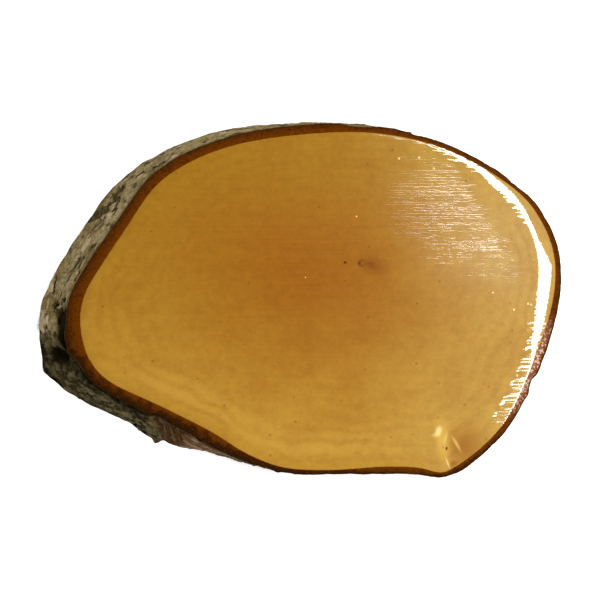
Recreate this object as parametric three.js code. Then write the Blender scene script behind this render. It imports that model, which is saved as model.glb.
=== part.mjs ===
// A wood slice: an oval disc sawn at a slant from a log, with its bark left on.
//
// Millimetres, +Z up. The slice lies on its sawn underside, +X along the oval, and its origin is
// at the middle of its bounding box on that plane. The grain runs at a slant through the disc, so
// the underside lies further to -X than the cut face.

import * as THREE from 'three';
import { LoftGeometry } from 'three/addons/geometries/LoftGeometry.js';
import { ImprovedNoise } from 'three/addons/math/ImprovedNoise.js';

const { radToDeg, lerp, smoothstep } = THREE.MathUtils;

// Driving dimensions

const THICKNESS = 15; // from one sawn face to the other
const LEAN = new THREE.Vector2(-13, 2); // along the grain, from the cut edge to the underside

// The edge of the wood on the cut face, counterclockwise from the right-hand end: x, y and the
// width of the bark there. The close points at the lower right are the bump over a small knot.
const CUT_EDGE = [
  [105.1, 2, 3.2], [104.8, 21, 2.8], [96.2, 38.8, 2.7], [83.2, 50.3, 2.5], [58.2, 63.4, 2.4],
  [31, 69.3, 3.2], [1, 68.8, 3.9], [-27.2, 64.4, 3.8], [-45.6, 57.4, 3.8], [-59.7, 47.7, 3.9],
  [-73.6, 28, 4.3], [-82.2, 15.1, 4.7], [-89, 3.5, 5], [-91.3, -6, 5.7], [-90.4, -16.4, 7],
  [-86.9, -25.5, 5.8], [-79.9, -33, 3.2], [-58.3, -43.6, 3.4], [-37.6, -54, 4.3],
  [-21, -64.1, 3.2], [-6.4, -69.3, 2.1], [12.2, -70.3, 1.9], [35, -68.9, 3], [49, -69.3, 2.8],
  [58.9, -71.3, 2.1], [63.3, -69.5, 2.5], [75, -61, 3.2], [85.6, -49, 3.2], [96, -27, 3.6],
];

// Places round the edge are turns in degrees, counterclockwise from the right-hand end. At the
// lower left a lobe of the log swells out towards the underside.
const SWELLING = { from: 189, full: 201, fade: 234, to: 250, out: 6.8 };

// Sanding rounds the border of the cut face over, and the softer bark wears further down.
const BORDER = 8;
const BORDER_DROP = 0.8;
const BORDER_STEPS = [0.25, 0.55, 1]; // shares of the border
const BARK_DROP = 1.5;

// The bark shrinks a little way off the wood as the slice dries.
const CAMBIUM_GAP = 0.3;

// Relief of the bark: loose plates over the inner bark, finer scales, a fold beside the swelling,
// and two tears where an outer layer ends in a step. Sanding leaves little relief at the rim.
const PLATE = { rise: 0.55, along: 15, high: 4.5, slope: 0.15 };
const SCALE = { rise: 0.35, along: 5, high: 2 };
const FOLD = { turn: 195, spread: 3, depth: 4.5, atRim: 0.25 };
const TEARS = [
  { top: 215, foot: 231, fade: -24, step: 1.7 },
  { top: 341, foot: 341, fade: 25, step: 1 },
];
const TEAR_EDGE = 1.2; // degrees
const RIM = { relief: 0.3, share: 0.35 };

const CURVE_STEPS = 2000; // for even spacing round the edge
const AROUND = 220; // points round the edge
const BARK_ROWS = 9; // rows of points up the outside of the bark
const JOIN_ROWS = 5; // rows of points up the side of the wood and the inside of the bark

const noise = new ImprovedNoise();

// How far one turn is past another, between -180 and 180 degrees.
function turnPast(turn, place) {
  return ((turn - place + 540) % 360) - 180;
}

// How far down the side a height is: 0 at the cut edge, 1 at the underside.
function depthShare(height) {
  return 1 - height / (THICKNESS - BORDER_DROP);
}

// The stations round the edge, each with its point, outward normal, turn and bark width.
function edgeStations() {
  const corners = CUT_EDGE.map(([x, y, width]) => new THREE.Vector3(x, y, width));
  const curve = new THREE.CatmullRomCurve3(corners, true, 'centripetal');
  curve.arcLengthDivisions = CURVE_STEPS;
  const stations = [];
  for (let i = 0; i < AROUND; i++) {
    const at = i / AROUND;
    const { x, y, z: width } = curve.getPointAt(at);
    const tangent = curve.getTangentAt(at);
    stations.push({
      point: new THREE.Vector2(x, y),
      normal: new THREE.Vector2(tangent.y, -tangent.x).normalize(),
      turn: (radToDeg(Math.atan2(y, x)) + 360) % 360,
      width,
    });
  }
  return stations;
}

// Evenly spread heights from the underside to the top of a side.
function heights(rows, top) {
  return Array.from({ length: rows }, (_, row) => lerp(0, top, row / (rows - 1)));
}

// How far the edge swells out at the underside.
function swelling({ turn }) {
  const { from, full, fade, to, out } = SWELLING;
  return out * smoothstep(turn, from, full) * (1 - smoothstep(turn, fade, to));
}

// A station's point on the wood's edge at a height, carried along the slanting grain, and moved
// out by a distance.
function onGrain(station, height, out = 0) {
  const depth = depthShare(height);
  const place = station.point.clone()
    .addScaledVector(LEAN, depth)
    .addScaledVector(station.normal, out + swelling(station) * depth);
  return new THREE.Vector3(place.x, place.y, height);
}

// How much of a torn layer is left: all of it at the tear, less away from it, none past it.
function layerLeft(turn, { top, foot, fade }, depth) {
  const away = turnPast(turn, lerp(top, foot, depth)) / fade;
  return away > 0
    ? 1 - smoothstep(away, 0, 1)
    : smoothstep(away, -TEAR_EDGE / Math.abs(fade), 0);
}

// How far the bark's outside stands off its mean surface.
function barkRelief({ point, turn }, height) {
  const depth = depthShare(height);
  const plates = noise.noise(point.x / PLATE.along, point.y / PLATE.along, height / PLATE.high);
  const scales = noise.noise(point.x / SCALE.along, point.y / SCALE.along, height / SCALE.high);
  const rough = PLATE.rise * (smoothstep(plates, -PLATE.slope, PLATE.slope) - 0.5) + SCALE.rise * scales;
  const fold = FOLD.depth * Math.exp(-((turnPast(turn, FOLD.turn) / FOLD.spread) ** 2));
  const layers = TEARS.reduce((sum, tear) => sum + tear.step * layerLeft(turn, tear, depth), 0);
  return rough * lerp(RIM.relief, 1, smoothstep(depth, 0, RIM.share)) + layers
    - fold * Math.sin(Math.PI * lerp(FOLD.atRim, 1, depth));
}

// The height of the cut face at a distance in from the edge of the wood.
function faceHeight(inset) {
  const share = Math.max(0, 1 - inset / BORDER);
  return THICKNESS - BORDER_DROP * share ** 2;
}

// The wood: the sawn underside, the slanting side, the rounded border and the flat cut face.
function woodGeometry(stations) {
  const side = heights(JOIN_ROWS, faceHeight(0)).map((height) => stations.map(
    (station) => onGrain(station, height)));
  const border = BORDER_STEPS.map((share) => stations.map(({ point }) => {
    const inset = share * BORDER;
    const inward = point.clone().setLength(point.length() - inset);
    return new THREE.Vector3(inward.x, inward.y, faceHeight(inset));
  }));
  return new LoftGeometry([...side, ...border], { capStart: true, capEnd: true });
}

// The bark: a ring whose outside is rough, whose top is sawn with the cut face, and whose inside
// follows the wood.
function barkGeometry(stations) {
  const outside = heights(BARK_ROWS, THICKNESS - BARK_DROP).map((height) => stations.map((station) => {
    const thickness = station.width + barkRelief(station, height);
    return onGrain(station, height, CAMBIUM_GAP + thickness);
  }));
  const inside = heights(JOIN_ROWS, faceHeight(0)).map((height) => stations.map(
    (station) => onGrain(station, height, CAMBIUM_GAP)));
  return new LoftGeometry([...outside, ...inside.reverse(), outside[0]]);
}

// A named piece with its colour and finish.
function piece(name, geometry, color, roughness) {
  const mesh = new THREE.Mesh(geometry, new THREE.MeshStandardMaterial({ color, roughness, metalness: 0 }));
  mesh.name = name;
  return mesh;
}

const stations = edgeStations();
const wood = piece('wood', woodGeometry(stations), 0xb9872f, 0.25);
const bark = piece('bark', barkGeometry(stations), 0x6b4a2c, 0.85);

const slice = new THREE.Group();
slice.name = 'wood_slice';
slice.add(wood, bark);

// The origin goes to the middle of the whole slice, on its underside.
const middle = new THREE.Box3().setFromObject(slice).getCenter(new THREE.Vector3());
for (const { geometry } of [wood, bark]) {
  geometry.translate(-middle.x, -middle.y, 0);
}

export default slice;
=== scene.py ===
"""The looks of a wood slice: an oval of a log sawn at a slant, varnished on its cut face, bark left on.

Metres, +Z up, in the frame of the part. The fine meshes follow the outlines of the part's own solids.
"""

import math
import random

import bpy
import numpy as np
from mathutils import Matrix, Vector, noise
from mathutils.bvhtree import BVHTree


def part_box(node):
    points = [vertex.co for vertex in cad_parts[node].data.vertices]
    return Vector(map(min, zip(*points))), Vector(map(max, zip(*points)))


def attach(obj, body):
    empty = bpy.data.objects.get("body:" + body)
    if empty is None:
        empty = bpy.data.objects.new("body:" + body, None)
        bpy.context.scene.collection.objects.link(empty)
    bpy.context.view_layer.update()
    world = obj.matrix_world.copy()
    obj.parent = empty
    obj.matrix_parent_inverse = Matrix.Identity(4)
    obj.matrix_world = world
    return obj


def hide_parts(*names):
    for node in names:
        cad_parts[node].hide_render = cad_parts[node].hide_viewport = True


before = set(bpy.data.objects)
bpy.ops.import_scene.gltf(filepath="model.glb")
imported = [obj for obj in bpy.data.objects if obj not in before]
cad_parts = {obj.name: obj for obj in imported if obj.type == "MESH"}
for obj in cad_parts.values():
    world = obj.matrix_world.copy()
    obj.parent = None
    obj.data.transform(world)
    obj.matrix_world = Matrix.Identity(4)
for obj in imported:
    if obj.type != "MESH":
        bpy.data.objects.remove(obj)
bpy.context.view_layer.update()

MM = 0.001

# Driving dimensions, in millimetres

PITH = np.array((27.2, 14.3))  # on the cut face
LEAN = np.array((-13.0, 2.0))  # along the grain, from the cut edge to the underside
FACE_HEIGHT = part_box("wood")[1].z / MM
EDGE_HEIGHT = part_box("bark")[1].z / MM  # of the wood's edge on the cut face
RIM_DROP = 0.7  # from the wood's edge to the bark's outer edge
RIM_HEIGHT = EDGE_HEIGHT - RIM_DROP
WOOD_SEAM = 0.26  # how far the wood reaches into the thin gap between it and the bark
BARK_SEAM = 0.08  # where the bark's inside lies in that gap, a little way over the wood
BARK_OVER = 0.02  # how far the bark's edge stands over the wood there

# Places round the slice are turns in degrees, counterclockwise from the right-hand end. Sanding
# rounds the border of the cut face over, in a width that changes round the edge: turn, width.
BORDER_WIDTHS = (
    (0, 7.8), (12, 8.4), (17, 8.5), (22, 7.4), (26, 6.5), (30, 5.7), (34, 3.8), (38, 2.8),
    (45, 1.8), (52, 0.8), (70, 0.8), (80, 2.2), (110, 5.0), (290, 5.0), (310, 0.2), (328, 0.2),
    (331, 0.8), (344, 0.9), (349, 4.0), (353, 5.5),
)
BORDER_SLOPE = 0.2  # at the edge of the wood
# The strokes of the brush fade out along the edge within so many widths of the border. Between two
# turns they reach at least a width of their own.
COMBED = {"from": 325, "to": 352, "width": 3.4, "fade": 1.8}

# Outlines of the solids are read a little way in from their ends, where every ray meets a side.
EDGE_SAMPLE = EDGE_HEIGHT - 0.05
FOOT_SAMPLE = 0.1
WALL_MARGIN = 0.08

# Fineness of the meshes

BARK_AROUND = 1240
WOOD_AROUND = 900
WALL_ROWS = 44
RING_ROWS = 13
# Rows of points as shares of a way: from the pith to the edge of the underside, up the side of the
# wood, in over the border of the cut face, and from the border to the pith
UNDERSIDE_ROWS = np.linspace(0.02, 1, 12)
SIDE_ROWS = (0.35, 0.7)
BORDER_ROWS = (0, 0.03, 0.08, 0.15, 0.24, 0.34, 0.45, 0.56, 0.68, 0.8, 0.92, 1.06)
FACE_ROWS = (*np.linspace(1, 0.06, 30)[1:], 0.04, 0.026, 0.018, 0.012, 0.007, 0.003)
# The same for the bark's inside, downwards, and for its underside, outwards
INSIDE_ROWS = (0.3, 0.65, 1.0)
BASE_ROWS = (0.35, 0.7)

SEED_SHIFT = 37.0  # moves the noise of one seed away from the next


def smooth(value, low, high):
    """0 below low, 1 above high, with a smooth step between."""
    share = np.clip((value - low) / (high - low), 0, 1)
    return share * share * (3 - 2 * share)


def turn_past(turn, place):
    """How far one turn is past another, between -180 and 180 degrees."""
    return (turn - place + 540) % 360 - 180


def noise_at(points, along, up, octaves, seed):
    """Noise at points in millimetres, with features of one size along the rim and another upwards."""
    scaled = points / np.array((along, along, up)) + SEED_SHIFT * seed
    values = [noise.fractal(point, 1.0, 2.0, octaves) for point in scaled.reshape(-1, 3)]
    return np.array(values).reshape(points.shape[:-1])


# Outlines read from the part's solids


def solid_tree(node):
    return BVHTree.FromObject(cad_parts[node], bpy.context.evaluated_depsgraph_get())


WOOD_TREE = solid_tree("wood")
BARK_TREE = solid_tree("bark")
REACH = 300.0  # further out than the slice


def grain_axis(height):
    """Where the line of the pith is at a height."""
    return PITH + LEAN * (1 - height / EDGE_HEIGHT)


def outline(node_tree, angles, height, outside=False):
    """A solid's outline at a height, at angles about the pith, as met from the pith or from outside."""
    centre = grain_axis(height)
    points = []
    for angle in angles:
        out = Vector((math.cos(angle), math.sin(angle), 0))
        start = Vector((*centre, height))
        if outside:
            start += out * REACH
            out = -out
        hit = node_tree.ray_cast(start * MM, out)[0]
        points.append(hit / MM)
    return np.array(points)


def even_angles(count):
    """Angles about the pith that part the cut edge into equal steps."""
    fine = np.linspace(0, 2 * math.pi, 4 * count, endpoint=False)
    points = outline(WOOD_TREE, fine, EDGE_SAMPLE)
    steps = np.linalg.norm(np.roll(points, -1, axis=0) - points, axis=1)
    along = np.concatenate(([0], np.cumsum(steps)))
    even = np.linspace(0, along[-1], count, endpoint=False)
    return np.interp(even, along, np.append(fine, 2 * math.pi))


def at_height(points, height):
    moved = points.copy()
    moved[:, 2] = height
    return moved


def turns_of(points):
    return np.degrees(np.arctan2(points[:, 1], points[:, 0])) % 360


def border_width(turn):
    turns, widths = zip(*BORDER_WIDTHS)
    return np.interp(turn, turns, widths, period=360)


def combed_width(turn):
    """Width along the edge that the strokes of the brush fade out over."""
    combed = (turn > COMBED["from"]) & (turn < COMBED["to"])
    return np.where(combed, np.maximum(border_width(turn), COMBED["width"]), border_width(turn))


def edge_height(turn):
    """Height of the wood's edge, at the foot of its rounded border."""
    return FACE_HEIGHT - BORDER_SLOPE * border_width(turn) / 2


def moved_out(points, distance):
    """A ring of points moved along its own outward normal in the plane."""
    along = np.roll(points, -1, axis=0) - np.roll(points, 1, axis=0)
    normal = np.stack((along[:, 1], -along[:, 0], np.zeros(len(points))), axis=1)
    normal /= np.linalg.norm(normal, axis=1)[:, None]
    return points + normal * distance


# Meshes


def ring_faces(rows, columns, closed=False):
    """Quads between rows of points that each close into a ring, facing out when the rows go up."""
    faces = []
    for row in range(rows if closed else rows - 1):
        here = row * columns
        above = (row + 1) % rows * columns
        for column in range(columns):
            beside = (column + 1) % columns
            faces.append((here + column, here + beside, above + beside, above + column))
    return faces


def mesh_piece(name, points, faces, attributes, materials, material_of=None, smooth_of=None):
    """A mesh piece from points in millimetres, with named values on its points."""
    mesh = bpy.data.meshes.new(name)
    mesh.from_pydata((points * MM).tolist(), [], faces)
    for key, values in attributes.items():
        layer = mesh.attributes.new(key, "FLOAT", "POINT")
        layer.data.foreach_set("value", values.astype(np.float32).ravel())
    for material in materials:
        mesh.materials.append(material)
    if material_of is not None:
        mesh.polygons.foreach_set("material_index", material_of)
    mesh.shade_smooth()
    if smooth_of is not None:
        mesh.polygons.foreach_set("use_smooth", smooth_of)
    piece = bpy.data.objects.new(name, mesh)
    bpy.context.scene.collection.objects.link(piece)
    return piece


# Shader nodes


def srgb(red, green, blue):
    """A colour given as 0 to 255 on screen, as the linear colour that shaders take."""
    channels = []
    for value in (red, green, blue):
        share = value / 255
        channels.append(share / 12.92 if share <= 0.04045 else ((share + 0.055) / 1.055) ** 2.4)
    return (*channels, 1.0)


# The sockets of a node that mixes colours: its factor and its two colours, and its result
MIX_INPUTS = (0, 6, 7)
MIX_OUTPUT = 2
SPOT_DEPTH = 100.0  # so that a spot goes through the whole slice


class Shader:
    """A material under construction, with short calls for the nodes it needs."""

    def __init__(self, name):
        self.material = bpy.data.materials.new(name)
        self.material.use_nodes = True
        self.tree = self.material.node_tree
        self.surface = self.tree.nodes["Principled BSDF"]

    def node(self, kind, inputs, **settings):
        new = self.tree.nodes.new("ShaderNode" + kind)
        for key, value in settings.items():
            setattr(new, key, value)
        for key, value in inputs.items():
            self.put(new.inputs[key], value)
        return new

    def put(self, socket, value):
        if isinstance(value, bpy.types.NodeSocket):
            self.tree.links.new(value, socket)
        else:
            socket.default_value = value

    def set(self, **inputs):
        for key, value in inputs.items():
            self.put(self.surface.inputs[key.replace("_", " ")], value)

    def value(self, name):
        return self.node("Attribute", {}, attribute_name=name).outputs["Fac"]

    def place(self):
        """The point on the piece, in millimetres."""
        coordinates = self.node("TexCoord", {}).outputs["Object"]
        return self.vector("SCALE", coordinates, scale=1 / MM)

    def vector(self, operation, a, b=None, scale=None):
        inputs = {0: a}
        if b is not None:
            inputs[1] = b
        if scale is not None:
            inputs["Scale"] = scale
        made = self.node("VectorMath", inputs, operation=operation)
        return made.outputs["Value" if operation in ("LENGTH", "DOT_PRODUCT") else "Vector"]

    def math(self, operation, a, b=0.0):
        return self.node("Math", {0: a, 1: b}, operation=operation).outputs[0]

    def step(self, value, low, high, to_low=0.0, to_high=1.0):
        """A smooth step of a value from one number to another."""
        limits = {"From Min": low, "From Max": high, "To Min": to_low, "To Max": to_high}
        made = self.node("MapRange", {"Value": value, **limits}, interpolation_type="SMOOTHSTEP")
        return made.outputs["Result"]

    def noise(self, place, size, detail=2.0, roughness=0.5):
        """Noise with features of a size in millimetres, which may differ along x, y and z."""
        sizes = size if isinstance(size, tuple) else (size, size, size)
        scaled = self.vector("DIVIDE", place, sizes)
        inputs = {"Vector": scaled, "Scale": 1.0, "Detail": detail, "Roughness": roughness}
        return self.node("TexNoise", inputs).outputs["Fac"]

    def mix(self, factor, a, b):
        """One colour mixed towards another."""
        new = self.node("Mix", {}, data_type="RGBA")
        for socket, value in zip(MIX_INPUTS, (factor, a, b)):
            self.put(new.inputs[socket], value)
        return new.outputs[MIX_OUTPUT]

    def spot(self, place, centre, radii, soft=0.5, turn=0.0):
        """1 in the middle of an oval on the cut face, 0 outside it."""
        offset = self.vector("SUBTRACT", place, (*centre, FACE_HEIGHT))
        if turn:
            inputs = {"Vector": offset, "Angle": -math.radians(turn)}
            offset = self.node("VectorRotate", inputs, rotation_type="Z_AXIS").outputs["Vector"]
        scaled = self.vector("DIVIDE", offset, (*radii, SPOT_DEPTH))
        return self.step(self.vector("LENGTH", scaled), 1.0, 1.0 - soft)

    def bump(self, height, distance):
        """A normal that follows a height, of which 1 stands for a distance in millimetres."""
        inputs = {"Height": height, "Distance": distance * MM, "Strength": 1.0}
        return self.node("Bump", inputs).outputs["Normal"]


# Finishes

WANDER = 26.0  # how far the colours of the wood wander, and how widely
YEARS = {"varnished": 15.0, "sawn": 31.0}  # growth rings that show from the pith to the edge
STROKES_END = (73.5, 46.7, FACE_HEIGHT)  # where the brush strokes end on the cut face
STROKES_LIMIT = (0.848, 0.529, 0.0)  # across the line that they end on
# Lines of the brush: the length, width and depth of their noise in millimetres, and their share
BRUSH_LINES = (((38.0, 0.6, 4.0), 0.6), ((3.5, 0.5, 4.0), 0.35), ((9.0, 0.28, 4.0), 0.14))
BRUSH_MEAN = sum(share for size, share in BRUSH_LINES) / 2


def tint(s, colour, mask, strength, shade):
    """A colour mixed towards a shade where a mask is set."""
    return s.mix(s.math("MULTIPLY", mask, strength), colour, shade)


def pith_marks(s, place, colour):
    """The ring of the pith, a smudge beside it and a pin hole."""
    x, y = PITH
    smudge = s.spot(place, (x + 4.4, y - 0.8), (9.5, 6.0), 1.0, -20)
    colour = tint(s, colour, smudge, 0.7, srgb(114, 60, 6))
    core = s.spot(place, (x + 3.2, y - 0.4), (2.8, 2.0), 1.0, -30)
    colour = tint(s, colour, core, 0.5, srgb(96, 48, 4))
    ring = s.spot(place, (x - 0.4, y + 0.2), (2.3, 2.1), 0.6)
    rim = s.math("SUBTRACT", ring, s.spot(place, (x - 0.1, y + 0.2), (1.4, 1.2), 0.7))
    colour = tint(s, colour, rim, 0.7, srgb(92, 48, 6))
    side = s.spot(place, (x - 1.5, y + 0.2), (0.9, 1.3), 0.9)
    colour = tint(s, colour, side, 0.7, srgb(76, 36, 2))
    halo = s.spot(place, (x - 7.3, y + 0.2), (3.0, 2.6), 1.0)
    colour = tint(s, colour, halo, 0.35, srgb(140, 76, 14))
    pin_hole = s.spot(place, (x - 7.4, y + 0.5), (0.9, 0.75), 0.6)
    return tint(s, colour, pin_hole, 0.9, srgb(62, 24, 6))


# Marks of a small knot, each over the one before: centre, radii, softness, turn, strength, colour
KNOT_MARKS = (
    ((69.0, -61.5), (14.0, 12.0), 1.0, 30, 0.8, (134, 80, 8)),
    ((60.3, -60.0), (4.5, 15.0), 1.0, 4, 0.6, (204, 164, 70)),
    ((58.6, -55.2), (2.0, 3.1), 1.0, -15, 0.8, (226, 202, 138)),
    ((57.4, -56.8), (2.6, 1.4), 1.0, 10, 0.45, (224, 198, 130)),
    ((61.5, -58.0), (0.8, 4.0), 1.0, -15, 0.4, (220, 186, 104)),
    ((66.0, -60.4), (1.1, 5.6), 1.0, 30, 0.5, (222, 184, 98)),
    ((64.9, -68.6), (2.6, 1.7), 0.8, 20, 0.75, (136, 76, 10)),
    ((62.4, -68.4), (0.7, 3.8), 1.0, 20, 0.6, (228, 196, 118)),
    ((60.4, -62.0), (0.35, 0.9), 0.8, 0, 0.6, (120, 66, 16)),
    ((61.9, -62.4), (0.6, 1.05), 0.6, -10, 0.95, (74, 30, 8)),
)


def knot_marks(s, place, colour):
    """The knot by the lower right edge: a pale patch, streaks fanning out of it and a pin hole."""
    for centre, radii, soft, turn, strength, shade in KNOT_MARKS:
        colour = tint(s, colour, s.spot(place, centre, radii, soft, turn), strength, srgb(*shade))
    return colour


def varnish_strokes(s, place):
    """Height of the brush strokes left in the varnish, and how much they blur its gloss: broken lines
    along the slice, in a patch at the right that ends along a slanting line, and along the border."""
    lines = 0.0
    for size, share in BRUSH_LINES:
        lines = s.math("ADD", lines, s.math("MULTIPLY", s.noise(place, size, 1.0), share))
    patchy = s.step(s.noise(place, (26.0, 3.0, 30.0), 2.0), 0.36, 0.62, 0.5, 1.0)
    past_end = s.vector("DOT_PRODUCT", s.vector("SUBTRACT", place, STROKES_END), STROKES_LIMIT)
    ragged = s.math("MULTIPLY", s.noise(place, (9.0, 0.9, 4.0), 1.0), 16.0)
    past_end = s.math("ADD", past_end, ragged)
    patch = s.spot(place, (67.0, 29.0), (53.0, 35.0), 0.9, -28)
    brushed = s.math("MULTIPLY", patch, s.step(past_end, 9.5, 2.5))
    strokes = s.math("MULTIPLY", s.math("SUBTRACT", lines, BRUSH_MEAN), s.math("MULTIPLY", brushed, patchy))

    teeth = s.math("SUBTRACT", s.noise(place, (18.0, 1.3, 4.0), 0.5), 0.5)
    y = s.node("SeparateXYZ", {"Vector": place}).outputs["Y"]
    above_knot = s.step(y, -54.0, -50.0)
    above_knot = s.math("MULTIPLY", above_knot, s.step(y, -16.0, -46.0, 0.6, 1.0))
    low = s.math("MULTIPLY", s.spot(place, (92.0, -38.0), (26.0, 46.0), 0.5, -22), above_knot)
    high = s.math("MULTIPLY", s.spot(place, (72.0, 56.0), (48.0, 20.0), 0.5, -35), 0.36)
    reach = s.math("ADD", s.math("MAXIMUM", low, high), 0.06)
    border = s.value("border")
    combed = s.math("MULTIPLY", teeth, s.math("MULTIPLY", reach, s.step(border, 0.0, 0.6)))
    lower = s.math("MULTIPLY", s.step(y, -16.0, -38.0), s.step(y, -50.0, -44.0))
    blurred = s.math("MULTIPLY", lower, s.step(border, 0.0, 0.3, 0.0, 0.25))
    return s.math("ADD", strokes, combed), s.math("MAXIMUM", brushed, blurred)


def varnished_wood():
    """Amber varnish over yellow sapwood and a warmer heart, with faint growth rings, a small knot and
    painted sheen.
    """
    s = Shader("varnished_wood")
    place = s.place()
    ring = s.value("ring")
    scaled = s.vector("DIVIDE", place, (WANDER, WANDER, WANDER))
    drift = s.node("TexNoise", {"Vector": scaled, "Scale": 1.0}).outputs["Color"]
    drift = s.vector("SCALE", drift, scale=WANDER)
    drift = s.vector("SUBTRACT", drift, (WANDER / 2, WANDER / 2, WANDER / 2))
    drifted = s.vector("ADD", place, drift)
    across = s.node("SeparateXYZ", {"Vector": drifted}).outputs
    colour = s.mix(s.step(across["Y"], 75.0, -50.0), srgb(143, 104, 21), srgb(164, 121, 39))
    colour = tint(s, colour, s.step(across["X"], 16.0, 72.0), 0.75, srgb(164, 130, 55))
    heart = s.spot(drifted, (4.0, 10.0), (114.0, 77.0), 1.0, -12)
    colour = tint(s, colour, heart, 0.95, srgb(133, 78, 3))

    mottle = s.step(s.noise(place, (14.0, 9.0, 9.0), 4.0, 0.6), 0.42, 0.68)
    colour = tint(s, colour, mottle, 0.2, srgb(130, 74, 8))
    # Painted sheen: the right of the cut face is paler and greyer, where the light reflects off the varnish
    painted_sheen = s.spot(place, (86.0, 22.0), (52.0, 44.0), 1.0, -25)
    colour = tint(s, colour, painted_sheen, 0.22, srgb(178, 148, 104))
    cells = s.noise(place, 3.6, 5.0, 0.9)
    colour = s.vector("SCALE", colour, scale=s.step(cells, 0.3, 0.7, 0.9, 1.09))
    wobble = s.math("MULTIPLY", s.noise(place, 16.0, 3.0), 2.2)
    years = s.math("ADD", s.math("MULTIPLY", ring, YEARS["varnished"]), wobble)
    year = s.math("SINE", s.math("MULTIPLY", years, 2 * math.pi))
    outer = s.step(ring, 0.45, 0.95, 0.03, 0.16)
    shown = s.math("MULTIPLY", outer, s.step(s.noise(place, 30.0, 1.0), 0.35, 0.65))
    colour = s.mix(s.math("MULTIPLY", s.step(year, -0.4, 1.0), shown), colour, srgb(122, 72, 12))
    band = s.math("MULTIPLY", s.step(ring, 0.8, 0.89), s.step(ring, 0.975, 0.92))
    band = s.math("MULTIPLY", band, s.spot(drifted, (-22.0, -52.0), (76.0, 34.0), 0.6, -18))
    band = s.math("MULTIPLY", band, s.step(year, 0.8, -0.8, 0.3, 1.0))
    colour = tint(s, colour, band, 0.26, srgb(184, 146, 62))
    sawn = s.noise(place, (60.0, 0.9, 9.0), 3.0, 0.6)
    colour = s.mix(s.step(sawn, 0.35, 0.65, 0.0, 0.03), colour, srgb(190, 146, 64))

    scaled = s.vector("DIVIDE", place, (10.0, 9.0, 1.0))
    spread = s.node("TexVoronoi", {"Vector": scaled, "Scale": 1.0}, voronoi_dimensions="2D")
    chance = s.node("SeparateColor", {"Color": spread.outputs["Color"]})
    near = s.step(spread.outputs["Distance"], 0.08, 0.02)
    fleck = s.math("MULTIPLY", near, s.step(chance.outputs[0], 0.62, 1.0))
    colour = tint(s, colour, fleck, 0.6, srgb(108, 58, 0))
    colour = pith_marks(s, place, colour)
    colour = knot_marks(s, place, colour)
    stain = s.math("ADD", ring, s.math("MULTIPLY", s.noise(place, 2.2, 2.0), 0.008))
    colour = tint(s, colour, s.step(stain, 0.998, 1.006), 0.7, srgb(104, 56, 8))

    strokes, blurred = varnish_strokes(s, place)
    normal = s.bump(strokes, 0.2)
    s.set(Base_Color=colour, Roughness=0.4, Specular_IOR_Level=0.06)
    dulled = s.step(blurred, 0.0, 0.6, 0.035, 0.12)
    s.set(Coat_Weight=1.0, Coat_Roughness=dulled, Coat_IOR=1.55)
    s.set(Coat_Normal=normal, Normal=normal)
    return s.material


def sawn_wood():
    """Bare wood with saw marks, on the underside and under the bark."""
    s = Shader("sawn_wood")
    place = s.place()
    ring = s.value("ring")
    drift = s.noise(place, 24.0, 2.0)
    heart = s.step(s.math("ADD", ring, s.math("MULTIPLY", drift, 0.4)), 1.1, 0.2)
    colour = s.mix(heart, srgb(214, 184, 134), srgb(190, 146, 92))
    wobble = s.math("MULTIPLY", s.noise(place, 18.0, 2.0), 1.2)
    phase = s.math("FRACT", s.math("ADD", s.math("MULTIPLY", ring, YEARS["sawn"]), wobble))
    colour = s.mix(s.math("MULTIPLY", s.math("POWER", phase, 4.0), 0.4), colour, srgb(152, 108, 62))
    marks = s.noise(place, (1.6, 70.0, 9.0), 3.0, 0.6)
    colour = s.mix(s.step(marks, 0.4, 0.7, 0.0, 0.25), colour, srgb(170, 132, 86))
    s.set(Base_Color=colour, Roughness=0.78, Normal=s.bump(marks, 0.12))
    return s.material


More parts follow.
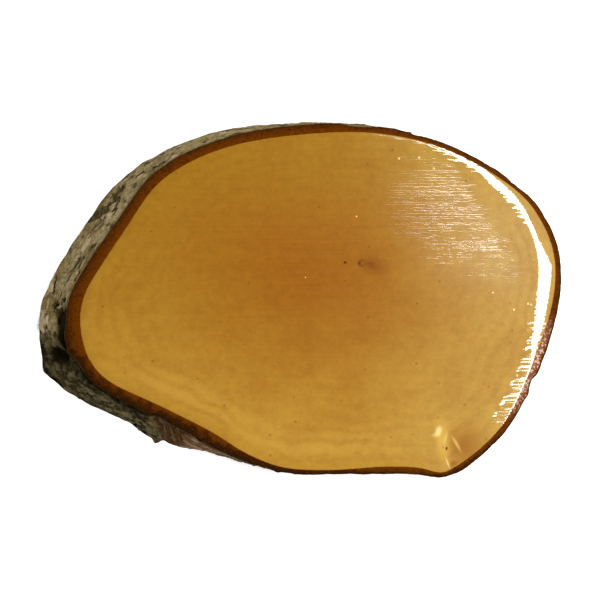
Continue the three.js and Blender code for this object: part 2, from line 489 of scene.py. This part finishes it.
def bark_finish():
    """Papery grey skin over dark cork outside, brown grainy bark where sawn; painted shade and glints."""
    s = Shader("bark")
    place = s.place()
    broad = s.noise(place, 13.0, 3.0)
    patches = s.noise(place, 5.0, 3.0, 0.6)
    fine = s.noise(place, 1.3, 4.0, 0.7)

    paper = s.mix(s.step(broad, 0.36, 0.62), srgb(124, 106, 65), srgb(150, 134, 96))
    paper = tint(s, paper, s.step(patches, 0.5, 0.64), 0.6, srgb(96, 82, 50))
    paper = tint(s, paper, s.step(fine, 0.5, 0.64), 0.55, srgb(84, 70, 42))
    paper = tint(s, paper, s.step(fine, 0.46, 0.34), 0.5, srgb(170, 153, 114))
    paper = tint(s, paper, s.value("pale"), 0.8, srgb(178, 158, 126))
    cork = s.mix(s.step(fine, 0.35, 0.65), srgb(50, 40, 22), srgb(88, 76, 50))
    outside = s.mix(s.value("skin"), cork, paper)
    moss = s.mix(s.step(fine, 0.38, 0.62), srgb(44, 37, 21), srgb(80, 69, 43))
    moss = tint(s, moss, s.step(patches, 0.48, 0.62), 0.65, srgb(104, 94, 61))
    moss = tint(s, moss, s.step(broad, 0.52, 0.42), 0.5, srgb(34, 27, 16))
    moss = tint(s, moss, s.value("fleck"), 0.5, srgb(122, 112, 82))
    outside = s.mix(s.value("olive"), outside, moss)
    under = s.mix(s.value("streak"), srgb(58, 37, 20), srgb(94, 68, 45))
    under = tint(s, under, s.step(s.value("streak"), 1.0, 1.8), 0.6, srgb(146, 124, 98))
    under = tint(s, under, s.step(fine, 0.5, 0.7), 0.3, srgb(48, 29, 18))
    outside = s.mix(s.value("bare"), outside, under)
    # Painted shade: near black in the bark's seams, cracks and crevice, under the overhanging rim, below
    # the rim and at its foot
    outside = tint(s, outside, s.value("painted_shade"), 0.96, srgb(12, 6, 2))

    inner = s.value("inner")
    cut = s.value("cut")
    grains = s.noise(place, 0.9, 2.0, 0.7)
    sawn = s.mix(s.step(inner, 0.1, 0.95), srgb(62, 30, 6), srgb(84, 39, 1))
    sawn = tint(s, sawn, s.step(grains, 0.45, 0.7), 0.4, srgb(108, 57, 10))
    sawn = tint(s, sawn, s.step(s.noise(place, 1.7, 2.0), 0.56, 0.68), 0.45, srgb(34, 12, 3))
    sooty = s.math("MULTIPLY", s.value("soot"), s.step(grains, 0.62, 0.42, 0.7, 1.0))
    sawn = tint(s, sawn, sooty, 0.85, srgb(34, 16, 4))
    outer = s.math("ADD", inner, s.math("MULTIPLY", patches, 0.3))
    sawn = tint(s, sawn, s.step(outer, 0.34, 0.14), 0.7, srgb(20, 8, 2))
    # Painted sheen and glints: the cut bark at the lower right is lighter, with pale specks, where the
    # light glints off it; it is also given a little real gloss there
    glint_patch = s.spot(place, (99.0, -30.0), (14.0, 26.0), 0.6, -22)
    glint_patch = s.math("MULTIPLY", glint_patch, s.step(inner, 0.15, 0.35))
    sawn = tint(s, sawn, glint_patch, 0.7, srgb(112, 58, 24))
    painted_glints = s.step(s.noise(place, 1.1, 1.5, 0.6), 0.51, 0.6)
    sawn = tint(s, sawn, s.math("MULTIPLY", glint_patch, painted_glints), 0.75, srgb(200, 160, 132))
    s.set(Base_Color=s.mix(cut, outside, sawn))
    s.set(Roughness=s.step(cut, 0.2, 0.8, 0.85, 0.6), Specular_IOR_Level=0.0)
    s.set(Coat_Weight=s.math("MULTIPLY", cut, s.math("MULTIPLY", glint_patch, 0.15)), Coat_Roughness=0.25)
    s.set(Normal=s.bump(s.math("ADD", grains, fine), 0.16))
    return s.material


# The wood


def wood_piece():
    angles = even_angles(WOOD_AROUND)
    edge = moved_out(outline(WOOD_TREE, angles, EDGE_SAMPLE), WOOD_SEAM)
    turn = turns_of(edge)
    edge[:, 2] = edge_height(turn)
    foot = at_height(moved_out(outline(WOOD_TREE, angles, FOOT_SAMPLE), WOOD_SEAM), 0.0)
    columns = len(angles)

    rows = []
    rings = []
    borders = []
    centre = np.array((*grain_axis(0.0), 0.0))
    for share in UNDERSIDE_ROWS:
        rows.append(centre + (foot - centre) * share)
        rings.append(np.full(columns, share))
    for share in SIDE_ROWS:
        rows.append(foot + (edge - foot) * share)
        rings.append(np.ones(columns))

    first_top_row = len(rows)
    borders.append(np.zeros(first_top_row * columns))
    pith = np.array((*PITH, FACE_HEIGHT))
    flat = (edge - pith) * (1, 1, 0)
    reach = np.linalg.norm(flat, axis=1)
    width = border_width(turn)
    insets = [width * share for share in BORDER_ROWS]
    distances = [reach - inset for inset in insets]
    distances += [(reach - insets[-1]) * share for share in FACE_ROWS]
    for distance in distances:
        row = pith + flat * (distance / reach)[:, None]
        widths_in = (reach - distance) / width
        slope_share = np.clip(1 - widths_in, 0, 1)
        row[:, 2] = FACE_HEIGHT - BORDER_SLOPE * width / 2 * slope_share ** 2
        rows.append(row)
        rings.append(distance / reach)
        borders.append(np.clip(COMBED["fade"] - (reach - distance) / combed_width(turn), 0, 1))

    points = np.concatenate(rows)
    faces = ring_faces(len(rows), columns)
    material_of = [int(face[0] // columns < first_top_row) for face in faces]
    faces.append(tuple(range(columns - 1, -1, -1)))
    material_of.append(1)
    last = (len(rows) - 1) * columns
    faces.append(tuple(range(last, last + columns)))
    material_of.append(0)
    smooth_of = [index == 0 for index in material_of]
    attributes = {"ring": np.concatenate(rings), "border": np.concatenate(borders)}
    materials = [varnished_wood(), sawn_wood()]
    return mesh_piece("wood_disc", points, faces, attributes, materials, material_of, smooth_of)


# The bark

# Places on the bark are a turn and a depth, from 0 at the cut edge to 1 at the underside.
MM_PER_TURN = 1.65  # along the bark, for one degree
SIDE_LENGTH = 19.0  # down the slanting side

# Patches that have lost their skin: turn, depth, length and height in millimetres
PATCHES = (
    (134.5, 0.30, 3.0, 3.0),
    (137.5, 0.55, 5.0, 2.0),
    (147.5, 0.68, 7.0, 1.6),
    (149.0, 0.52, 5.0, 6.0),
    (152.0, 0.62, 9.0, 10.0),
    (155.0, 0.78, 6.0, 6.0),
    (153.0, 0.34, 7.0, 7.0),
    (152.8, 0.80, 5.0, 5.0),
    (156.5, 0.95, 7.0, 4.5),
    (160.0, 1.00, 6.0, 3.0),
    (157.5, 0.22, 2.5, 2.0),
    (166.2, 0.45, 3.0, 2.0),
    (165.0, 0.27, 2.5, 2.0),
    (171.5, 0.40, 6.0, 2.5),
    (181.8, 0.44, 4.0, 4.0),
    (183.5, 0.30, 4.0, 6.0),
)
# Pale plates of fresh skin, in the same way
PLATES = (
    (186.4, 0.82, 7.5, 9.0),
    (130.0, 0.22, 8.0, 4.0),
    (108.0, 0.5, 6.0, 5.0),
    (20.0, 0.5, 9.0, 6.0),
    (290.0, 0.6, 9.0, 6.0),
)
# Open cracks: the places that each runs through, its width and how far it goes in, in millimetres
CRACKS = (
    (((131.0, 0.04), (134.0, 0.10), (136.0, 0.20)), 0.9, 0.9),
    (((168.2, 0.33), (170.4, 0.22), (172.1, 0.13), (175.0, 0.07)), 1.0, 1.0),
    (((174.2, 0.84), (178.0, 0.76), (180.2, 0.66)), 0.9, 0.9),
    (((180.0, 0.16), (181.5, 0.30), (182.5, 0.48)), 1.2, 1.0),
)
# Noise on the bark: its size along the rim and upwards in millimetres, its octaves and its seed
BARK_NOISE = {
    "ragged": (6.0, 3.5, 4, 1),
    "rough": (2.4, 1.5, 3, 5),
    "layer": (10.0, 3.0, 3, 2),
    "seams": (16.0, 3.0, 2, 3),
    "grain": (1.6, 0.9, 2, 4),
    "lichen": (3.4, 2.4, 4, 8),
    "blotch": (3.0, 3.0, 3, 7),
}
# Streaks of the torn bark: their size along the rim, down the side and through the bark
STREAK_SIZES = {"down": (1.6, 9.0, 1.0), "along": (14.0, 1.5, 1.0)}
# How far each layer of the bark's relief stands out or goes in, in millimetres
RELIEF = {
    "skin": 0.35,
    "plate": 0.3,
    "layer": 0.2,
    "seam": 0.35,
    "grain": 0.16,
    "moss": 0.4,
    "lump": 0.5,
    "fleck": 0.3,
    "torn": 0.3,
    "streak": 0.5,
    "mean": 0.3,
}
# The deep crevice beside the lobe
CREVICE = {"turn": 195.4, "depth": 0.66, "length": 9.0, "height": 8.0, "into": 1.2}
MOST_IN = 1.1  # the relief goes no deeper, so that the bark stays outside the wood
# Where the rim hangs over the bark below it
UNDERCUT = {"from": 182.0, "to": 197.0, "soft": 3.0, "depth": 0.10, "reach": 0.22, "into": 1.0}
# Where the outer bark is torn off: the tear's turn at the rim and at the underside, how sharp it is
# there, where it fades out, and where its streaks change from down the side to along it
TEAR = {"top": 218.5, "foot": 237.0, "sharp": 0.4, "fade": 248.0, "end": 262.0, "change": (233.0, 242.0)}
# The mossy lobe
OLIVE = {"from": 188.0, "to": 189.5, "fade": 262.0, "end": 275.0}
# How much of the cut bark's width is dark, from its outer edge: turn, share
SOOT = (
    (184, -0.3), (198, 0.7), (225, 0.6), (243, 0.55), (256, 1.3), (286, 1.4), (293, 0.2), (304, 0.0),
    (309, 0.6), (324, 0.4), (333, -0.3),
)
# Where the painted shade below the rim is darkest, on the sides away from the light
SHADE_SIDE = {"from": 184, "full": 198, "fade": 305, "to": 325}
# A small round knob on the lobe, near the tear
KNOB = {"turn": 218.3, "depth": 0.32, "across": 4.2, "out": 0.9}
RIM_ROUNDING = 3.5  # how sharply the cut bark falls off to its outer edge
# Broad rises and dips: turn, depth, length, height and how far out, in millimetres
SWELLS = (
    (27.0, 0.0, 10.0, 12.0, -0.8),
    (53.4, 0.0, 10.0, 12.0, -0.8),
    (69.0, 0.0, 14.0, 12.0, -1.4),
    (131.0, 0.95, 26.0, 12.0, -0.7),
    (157.5, 0.95, 28.0, 22.0, 1.2),
    (186.5, 0.95, 14.0, 14.0, 0.8),
    (198.6, 1.0, 5.0, 8.0, 0.9),
    (203.0, 0.95, 7.0, 10.0, -1.4),
    (212.2, 0.95, 9.0, 10.0, 0.7),
    (224.0, 0.95, 12.0, 10.0, -1.2),
    (234.4, 1.0, 4.0, 8.0, 1.5),
    (234.5, 0.85, 20.0, 12.0, -1.1),
    (194.5, 0.0, 11.0, 7.0, 2.2),
    (252.0, 0.3, 14.0, 20.0, -0.7),
    (260.5, 0.3, 8.0, 20.0, -1.1),
    (264.2, 0.1, 4.0, 14.0, 0.7),
    (314.8, 0.0, 8.0, 12.0, 0.6),
    (338.0, 0.1, 5.0, 12.0, 0.75),
    (341.2, 0.1, 5.5, 12.0, -2.0),
    (346.0, 0.1, 8.0, 12.0, -0.8),
)


def spot_on_bark(turn, depth, place):
    """How near a spot is: 0 at its middle, 1 on its oval edge."""
    at_turn, at_depth, length, height = place
    across = turn_past(turn, at_turn) * MM_PER_TURN / (length / 2)
    down = (depth - at_depth) * SIDE_LENGTH / (height / 2)
    return np.hypot(across, down)


def line_distance(turn, depth, line):
    """Distance on the bark from a line through places, in millimetres."""
    nearest = np.full(turn.shape, REACH)
    for (turn_a, depth_a), (turn_b, depth_b) in zip(line, line[1:]):
        step = np.array(((turn_b - turn_a) * MM_PER_TURN, (depth_b - depth_a) * SIDE_LENGTH))
        across = turn_past(turn, turn_a) * MM_PER_TURN
        down = (depth - depth_a) * SIDE_LENGTH
        share = np.clip((across * step[0] + down * step[1]) / (step @ step), 0, 1)
        nearest = np.minimum(nearest, np.hypot(across - share * step[0], down - share * step[1]))
    return nearest


def bark_base(angles):
    """The outside of the bark's solid, row by row from the underside to the rim."""
    heights = np.linspace(0.0, RIM_HEIGHT, WALL_ROWS)
    rows = []
    for height in heights:
        level = np.clip(height, WALL_MARGIN, RIM_HEIGHT - WALL_MARGIN)
        row = outline(BARK_TREE, angles, level, outside=True)
        rows.append(at_height(row, height))
    return np.array(rows)


def wall_normals(wall):
    around = np.roll(wall, -1, axis=1) - np.roll(wall, 1, axis=1)
    up = np.gradient(wall, axis=0)
    normals = np.cross(around, up)
    return normals / np.linalg.norm(normals, axis=2)[..., None]


def shade_side(turn):
    """1 on the lower left and the bottom, away from the light, where the painted shade below the rim is
    darkest; 0 elsewhere.
    """
    begun = smooth(turn, SHADE_SIDE["from"], SHADE_SIDE["full"])
    return begun * smooth(-turn, -SHADE_SIDE["to"], -SHADE_SIDE["fade"])


def bark_relief(wall, turn, depth):
    """How far the bark stands out, with the masks that colour it, painted shade among them."""
    ragged = noise_at(wall, *BARK_NOISE["ragged"])
    rough = noise_at(wall, *BARK_NOISE["rough"])
    lost = np.zeros(turn.shape)
    for place in PATCHES:
        lost = np.maximum(lost, np.exp(-spot_on_bark(turn, depth, place) ** 2))
    skin = smooth(0.34 + ragged * 0.75 - lost * 0.95, -0.08, 0.1)
    pale = np.zeros(turn.shape)
    for place in PLATES:
        pale = np.maximum(pale, smooth(spot_on_bark(turn, depth, place) + ragged * 0.8, 1.06, 0.94))
    layer = smooth(noise_at(wall, *BARK_NOISE["layer"]), 0.02, 0.06)
    seams = 1 - smooth(np.abs(noise_at(wall, *BARK_NOISE["seams"])), 0.0, 0.03)
    grain = noise_at(wall, *BARK_NOISE["grain"])

    open_crack = np.zeros(turn.shape)
    for line, width, into in CRACKS:
        distance = line_distance(turn, depth, line) + rough * 0.8
        open_crack = np.maximum(open_crack, into * smooth(distance, width * 0.8, width * 0.2))
    crevice_place = [CREVICE[key] for key in ("turn", "depth", "length", "height")]
    crevice = smooth(spot_on_bark(turn, depth, crevice_place) + ragged * 0.6, 1.3, 0.3)
    soft = UNDERCUT["soft"]
    under = smooth(turn, UNDERCUT["from"] - soft, UNDERCUT["from"] + soft)
    under = under * smooth(-turn, -UNDERCUT["to"], soft - UNDERCUT["to"])
    under = under * np.exp(-((depth - UNDERCUT["depth"] + ragged * 0.12) / UNDERCUT["reach"]) ** 2)

    tear = TEAR["top"] + (TEAR["foot"] - TEAR["top"]) * depth
    bare = smooth(turn + rough * 2, tear - TEAR["sharp"], tear + TEAR["sharp"])
    bare = bare * smooth(-turn, -TEAR["end"], -TEAR["fade"])
    olive = smooth(turn + ragged * 4, OLIVE["from"], OLIVE["to"])
    olive = olive * smooth(-turn, -OLIVE["end"], -OLIVE["fade"])
    lichen = noise_at(wall, *BARK_NOISE["lichen"])
    fleck = smooth(lichen + rough * 0.4, 0.16, 0.3)
    past_tear = np.stack(((turn - tear) * MM_PER_TURN, depth * SIDE_LENGTH, 0 * turn), axis=-1)
    streak = smooth(noise_at(past_tear / STREAK_SIZES["down"], 1.0, 1.0, 3, seed=6), -0.15, 0.3)
    along = smooth(noise_at(past_tear / STREAK_SIZES["along"], 1.0, 1.0, 3, seed=9), -0.25, 0.3)
    changed = smooth(turn + ragged * 10, *TEAR["change"])
    streak = streak * (1 - changed) + (along + 0.8) * changed
    knob = spot_on_bark(turn, depth, (KNOB["turn"], KNOB["depth"], KNOB["across"], KNOB["across"]))

    covered = 1 - bare
    out = RELIEF["skin"] * skin * covered * (1 - olive) + RELIEF["plate"] * pale
    out = out + RELIEF["layer"] * layer - RELIEF["seam"] * seams * covered + RELIEF["grain"] * grain
    mossy = RELIEF["moss"] * rough + RELIEF["lump"] * ragged + RELIEF["fleck"] * fleck
    torn = RELIEF["torn"] * rough + RELIEF["streak"] * streak
    out += olive * covered * mossy + bare * torn
    calm = (0.5 + 0.5 * smooth(depth, 0.0, 0.08)) * smooth(1 - depth, 0.0, 0.05)
    out = (out - RELIEF["mean"]) * calm - open_crack - CREVICE["into"] * crevice - UNDERCUT["into"] * under
    out = np.maximum(out, -MOST_IN)
    out += KNOB["out"] * np.sqrt(np.clip(1 - knob ** 2, 0, 1))
    for *place, rise in SWELLS:
        out += rise * np.exp(-spot_on_bark(turn, depth, place) ** 2)

    shaded = olive * covered * smooth(depth + ragged * 0.15, 0.42, 0.08)
    shaded = np.maximum(shaded, 0.55 * olive * np.exp(-(turn_past(turn, CREVICE["turn"] + 2) / 6) ** 2))
    # Painted shade in a ring round the foot of the knob
    knob_shade = smooth(np.abs(knob - 1.1), 0.25, 0.05)
    # Painted shade along the bark just below the rim, strongest on the sides away from the light
    line = smooth(depth + rough * 0.06, 0.08, 0.02) * (0.45 + 0.55 * shade_side(turn))
    # Painted shade: darker in the seams, cracks and crevice, under the overhanging rim, on the lobe by the
    # ring, round the knob, below the rim and at the foot
    painted_shade = seams * 0.45 * covered + np.minimum(open_crack * 1.2, 1) + crevice + under * 1.2
    painted_shade = painted_shade + shaded * 0.75
    # Painted shadow along the foot of the bark, where it meets the floor
    painted_foot_shadow = 0.5 * smooth(depth + ragged * 0.1, 0.88, 1.0)
    painted_shade = np.clip(painted_shade + knob_shade * 0.6 + line + painted_foot_shadow, 0, 1)
    masks = {"skin": skin, "pale": pale, "painted_shade": painted_shade, "olive": olive, "bare": bare, "fleck": fleck,
             "streak": streak}
    return out, masks


def bark_piece():
    angles = even_angles(BARK_AROUND)
    edge = at_height(outline(WOOD_TREE, angles, EDGE_SAMPLE), EDGE_HEIGHT)
    turn = turns_of(edge)
    top = edge_height(turn) + BARK_OVER
    inside_top = moved_out(edge, BARK_SEAM)
    inside_top[:, 2] = top
    inside_foot = at_height(moved_out(outline(WOOD_TREE, angles, FOOT_SAMPLE), BARK_SEAM), 0.0)

    wall = bark_base(angles)
    depth = np.linspace(1, 0, WALL_ROWS)[:, None] * np.ones(len(angles))
    out, masks = bark_relief(wall, np.broadcast_to(turn, depth.shape), depth)
    wall = wall + wall_normals(wall) * out[..., None]
    wall[:, :, 2] = np.maximum(wall[:, :, 2], 0.0)

    rim = wall[-1]
    ring = []
    for share in np.linspace(0, 1, RING_ROWS + 1)[1:]:
        row = rim + (inside_top - rim) * share
        row[:, 2] = top - (top - RIM_HEIGHT) * (1 - share) ** RIM_ROUNDING
        ring.append(row)
    inside = [inside_top + (inside_foot - inside_top) * share for share in INSIDE_ROWS]
    base = [inside_foot + (wall[0] - inside_foot) * share for share in BASE_ROWS]

    rows = [*wall, *ring, *inside, *base]
    hidden = len(inside) + len(base)
    columns = len(angles)

    def spread(values, on_ring, on_hidden):
        """Values on the wall, the ring of cut bark and the hidden rows, point by point."""
        ring_values = np.full((RING_ROWS, columns), on_ring)
        hidden_values = np.full((hidden, columns), on_hidden)
        return np.concatenate((values, ring_values, hidden_values)).ravel()

    across = np.linspace(0, 1, RING_ROWS + 1)[1:, None] * np.ones(columns)
    blotch = noise_at(np.array(ring), *BARK_NOISE["blotch"])
    soot_reach = np.interp(turn, *zip(*SOOT), period=360)
    soot = smooth(across + blotch * 0.5, soot_reach + 0.3, soot_reach - 0.3)
    uncut = np.zeros((WALL_ROWS, columns))
    attributes = {
        **{key: spread(values, 0, 0) for key, values in masks.items()},
        "cut": spread(uncut, 1, 1),
        "inner": spread(uncut, across, 1),
        "soot": spread(uncut, soot, 0),
    }
    faces = ring_faces(len(rows), columns, closed=True)
    seen_rows = WALL_ROWS + RING_ROWS - 1
    smooth_of = [face[0] // columns < seen_rows for face in faces]
    finish = bark_finish()
    points = np.concatenate(rows)
    piece = mesh_piece("bark_ring", points, faces, attributes, [finish], smooth_of=smooth_of)
    return piece, flakes_piece(wall, wall_normals(wall), turn, finish)


# Loose flakes of bark

# The larger flakes: turn, depth of the edge that still holds, length, height, lift of the free
# edge, and which way it opens, 1 towards the underside and -1 towards the cut edge
FLAKES = (
    (131.5, 0.34, 11.0, 4.5, 0.9, -1),
    (157.5, 0.52, 8.0, 3.0, 0.6, -1),
    (170.5, 0.16, 9.0, 2.0, 0.5, -1),
    (177.0, 0.94, 11.0, 3.6, 0.8, -1),
    (181.0, 0.36, 4.0, 4.5, 0.8, -1),
    (187.0, 0.70, 5.0, 3.5, 0.7, 1),
    (205.0, 0.55, 4.0, 2.5, 0.5, -1),
    (209.0, 0.70, 5.0, 2.5, 0.5, 1),
)
# The smaller flakes are random, within limits of depth, length, height and lift
MORE_FLAKES = 90
FLAKE_SEED = 11
FLAKE_LIMITS = ((0.25, 0.85), (3, 8), (1.2, 3), (0.15, 0.55))
FLAKES_CLEAR = {"crevice": 6, "tear": 4}  # degrees beside these without a flake
FLAKE_SKIN = 0.14  # thickness
FLAKE_ALONG = 14
FLAKE_UP = 6


def wall_sample(values, row, column):
    """Values on the bark's wall between its points, wrapped round the slice."""
    rows, columns = values.shape[:2]
    row = np.clip(row, 0, rows - 1.001)
    low_row = row.astype(int)
    low_column = np.floor(column).astype(int)
    up = (row - low_row)[..., None]
    along = (column - low_column)[..., None]
    left = low_column % columns
    right = (low_column + 1) % columns
    below = values[low_row, left] * (1 - along) + values[low_row, right] * along
    above = values[low_row + 1, left] * (1 - along) + values[low_row + 1, right] * along
    return below * (1 - up) + above * up


def slab_faces(up, along, first):
    """Faces of a thin closed slab: an outer grid of points followed by an inner one."""
    faces = []
    inner = up * along
    for row in range(up - 1):
        for column in range(along - 1):
            a = row * along + column
            quad = (a, a + 1, a + along + 1, a + along)
            faces.append(quad)
            faces.append(tuple(inner + corner for corner in reversed(quad)))
    rim = list(range(along))
    rim += [row * along + along - 1 for row in range(1, up)]
    rim += [(up - 1) * along + column for column in range(along - 2, -1, -1)]
    rim += [row * along for row in range(up - 2, 0, -1)]
    for a, b in zip(rim, rim[1:] + rim[:1]):
        faces.append((b, a, inner + a, inner + b))
    return [tuple(first + corner for corner in face) for face in faces]


def flake_points(wall, normals, turn, shape, seed):
    """A sheet that holds to the bark along one edge and stands off it along the other."""
    at_turn, at_depth, length, height, lift, way = shape
    along = np.linspace(-1, 1, FLAKE_ALONG)
    up = np.linspace(0, 1, FLAKE_UP)[:, None]
    ragged = np.array([noise.noise((3 * share, seed, 0.5)) for share in along])
    reach = np.clip(1 - along ** 2, 0, 1) ** 0.4 * (0.85 + 0.5 * ragged)
    depth = at_depth + way * (up * reach + 0.15 * ragged) * height / SIDE_LENGTH
    turns = at_turn + along * length / 2 / MM_PER_TURN + 0.4 * up
    past_first = np.append((turn - turn[0]) % 360, 360)
    column = np.interp((turns - turn[0]) % 360, past_first, np.arange(len(past_first)))
    row = (1 - np.clip(depth, 0.04, 0.98)) * (WALL_ROWS - 1)
    base = wall_sample(wall, row, column)
    normal = wall_sample(normals, row, column)
    stand_off = (0.02 + lift * up ** 1.6 * reach)[..., None]
    inner = base + normal * stand_off
    outer = inner + normal * FLAKE_SKIN
    points = np.concatenate((outer.reshape(-1, 3), inner.reshape(-1, 3)))
    points[:, 2] = np.maximum(points[:, 2], 0.02)
    if way > 0:
        points = points.reshape(2, FLAKE_UP, FLAKE_ALONG, 3)[:, :, ::-1].reshape(-1, 3)
    return points


def flakes_piece(wall, normals, turn, material):
    rng = random.Random(FLAKE_SEED)
    shapes = list(FLAKES)
    while len(shapes) < len(FLAKES) + MORE_FLAKES:
        at_turn = rng.uniform(0, 360)
        measures = [rng.uniform(least, most) for least, most in FLAKE_LIMITS]
        way = rng.choice((-1, 1))
        in_crevice = abs(at_turn - CREVICE["turn"]) < FLAKES_CLEAR["crevice"]
        in_tear = TEAR["top"] - FLAKES_CLEAR["tear"] < at_turn < TEAR["end"]
        if not in_crevice and not in_tear:
            shapes.append((at_turn, *measures, way))
    points = []
    faces = []
    tones = {"skin": [], "pale": [], "olive": [], "fleck": [], "bare": []}
    one = FLAKE_UP * FLAKE_ALONG
    for index, shape in enumerate(shapes):
        faces += slab_faces(FLAKE_UP, FLAKE_ALONG, 2 * one * index)
        points.append(flake_points(wall, normals, turn, shape, index + 0.5))
        mossy = float(OLIVE["from"] < shape[0] < OLIVE["fade"])
        tones["skin"].append(np.ones(2 * one))
        tones["pale"].append(np.full(2 * one, rng.uniform(0, 0.7)))
        tones["olive"].append(np.full(2 * one, mossy))
        tones["fleck"].append(np.full(2 * one, rng.uniform(0.2, 1)))
        tones["bare"].append(np.repeat((0.0, 0.8), one))
    attributes = {key: np.concatenate(values) for key, values in tones.items()}
    return mesh_piece("bark_flakes", np.concatenate(points), faces, attributes, [material])


# Beads in the varnish, on the cut face: x, y and width
BEADS = (
    (42.1, 57.9, 1.2),
    (50.4, 58.3, 1.2),
    (56.6, 53.8, 1.2),
    (24.5, 33.9, 0.8),
    (3.4, 8.6, 0.6),
    (81.1, 2.3, 1.0),
    (95.7, -2.3, 1.2),
    (96.9, -2.7, 1.2),
    (89.8, -4.8, 1.2),
    (91.1, -32.1, 1.2),
)
BEAD_RISE = 0.3  # share of the width
BEAD_SINK = 0.05  # into the cut face
BEAD_AROUND = 14
BEAD_RINGS = (0, 25, 50, 75)  # degrees up the side of a bead


def bead_finish():
    """The varnish of the beads, a little cloudy."""
    s = Shader("varnish_bead")
    cloud = s.noise(s.place(), 0.5, 2.0)
    s.set(Base_Color=s.mix(cloud, srgb(196, 150, 70), srgb(226, 190, 118)), Roughness=0.3)
    s.set(Coat_Weight=1.0, Coat_Roughness=0.08)
    return s.material


def beads_piece():
    points = []
    faces = []
    rings = len(BEAD_RINGS)
    for x, y, across in BEADS:
        first = len(points)
        for lift in np.radians(BEAD_RINGS):
            out = across / 2 * math.cos(lift)
            height = FACE_HEIGHT - BEAD_SINK + BEAD_RISE * across * math.sin(lift)
            for angle in np.linspace(0, 2 * math.pi, BEAD_AROUND, endpoint=False):
                points.append((x + out * math.cos(angle), y + out * math.sin(angle), height))
        faces += [tuple(first + corner for corner in face) for face in ring_faces(rings, BEAD_AROUND)]
        top = first + (rings - 1) * BEAD_AROUND
        faces.append(tuple(range(first + BEAD_AROUND - 1, first - 1, -1)))
        faces.append(tuple(range(top, top + BEAD_AROUND)))
    return mesh_piece("varnish_beads", np.array(points), faces, {}, [bead_finish()])


# The stage

# The camera's place over the slice, its height above the cut face, and the width of its frame there
CAMERA = {"at": (1.09, -0.79), "above_face": 550.0, "across": 249.0}
FLOOR = {"size": 20.0, "gap": 0.0002, "white": 0.93, "glow": 0.25}  # size and gap in metres
# Panels of light over the slice: left, right, front and back limit, radiance, and turn in degrees
PANEL_HEIGHT = 700.0
PANELS = {
    "faint_panel": (75, 125, 165, 240, 6.0, 0.0),
    "back_panel": (125, 205, 165, 240, 22.0, 0.0),
    "corner_panel": (205, 350, 110, 390, 22.0, 0.0),
    "right_panel": (228, 432, -220, 100, 20.5, -20.5),
    "low_panel": (400, 495, -209, -99, 20.5, -20.5),
}
# Brightness of the room by the upward part of a direction: dim low down, bright half way up, and
# dark overhead
ROOM_BANDS = ((0.28, 0.22), (0.46, 0.96), (0.72, 0.96), (0.86, 0.04))


def floor_piece():
    s = Shader("floor")
    white = FLOOR["white"]
    s.set(Base_Color=(white, white, white, 1.0), Roughness=0.9)
    s.set(Emission_Color=(1.0, 1.0, 1.0, 1.0), Emission_Strength=FLOOR["glow"])
    bpy.ops.mesh.primitive_plane_add(size=FLOOR["size"], location=(0, 0, -FLOOR["gap"]))
    floor = bpy.context.object
    floor.name = "floor"
    floor.data.materials.append(s.material)
    return floor


def panel_light(name, left, right, front, back, radiance, turn):
    """A flat panel that shines straight down, between limits in millimetres, then turned."""
    data = bpy.data.lights.new(name, "AREA")
    data.shape = "RECTANGLE"
    data.size = (right - left) * MM
    data.size_y = (back - front) * MM
    data.energy = radiance * math.pi * data.size * data.size_y
    light = bpy.data.objects.new(name, data)
    light.location = Vector(((left + right) / 2, (front + back) / 2, PANEL_HEIGHT)) * MM
    light.rotation_euler.z = math.radians(turn)
    bpy.context.scene.collection.objects.link(light)


def room_light():
    """Soft light from all sides, less of it low down, and hardly any from straight above."""
    world = bpy.data.worlds.new("room")
    world.use_nodes = True
    tree = world.node_tree
    direction = tree.nodes.new("ShaderNodeTexCoord").outputs["Generated"]
    split = tree.nodes.new("ShaderNodeSeparateXYZ")
    tree.links.new(direction, split.inputs[0])
    ramp = tree.nodes.new("ShaderNodeValToRGB")
    ramp.color_ramp.interpolation = "EASE"
    stops = ramp.color_ramp.elements
    while len(stops) < len(ROOM_BANDS):
        stops.new(0.5)
    for stop, (height, strength) in zip(stops, ROOM_BANDS):
        stop.position = height
        stop.color = (strength, strength, strength, 1.0)
    tree.links.new(split.outputs["Z"], ramp.inputs["Fac"])
    tree.links.new(ramp.outputs["Color"], tree.nodes["Background"].inputs["Strength"])
    tree.nodes["Background"].inputs["Color"].default_value = (1, 1, 1, 1)
    bpy.context.scene.world = world


def camera_above():
    """A camera straight above, with a frame of the given width at the cut face."""
    data = bpy.data.cameras.new("camera")
    data.angle = 2 * math.atan(CAMERA["across"] / 2 / CAMERA["above_face"])
    camera = bpy.data.objects.new("camera", data)
    camera.location = Vector((*CAMERA["at"], FACE_HEIGHT + CAMERA["above_face"])) * MM
    bpy.context.scene.collection.objects.link(camera)
    bpy.context.scene.camera = camera


def studio():
    camera_above()
    floor_piece()
    for name, measures in PANELS.items():
        panel_light(name, *measures)
    room_light()
    bpy.context.scene.view_settings.view_transform = "Standard"


studio()
wood = wood_piece()
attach(wood, "root")
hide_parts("wood")

beads = beads_piece()
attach(beads, "root")

bark, flakes = bark_piece()
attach(bark, "root")
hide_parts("bark")
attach(flakes, "root")
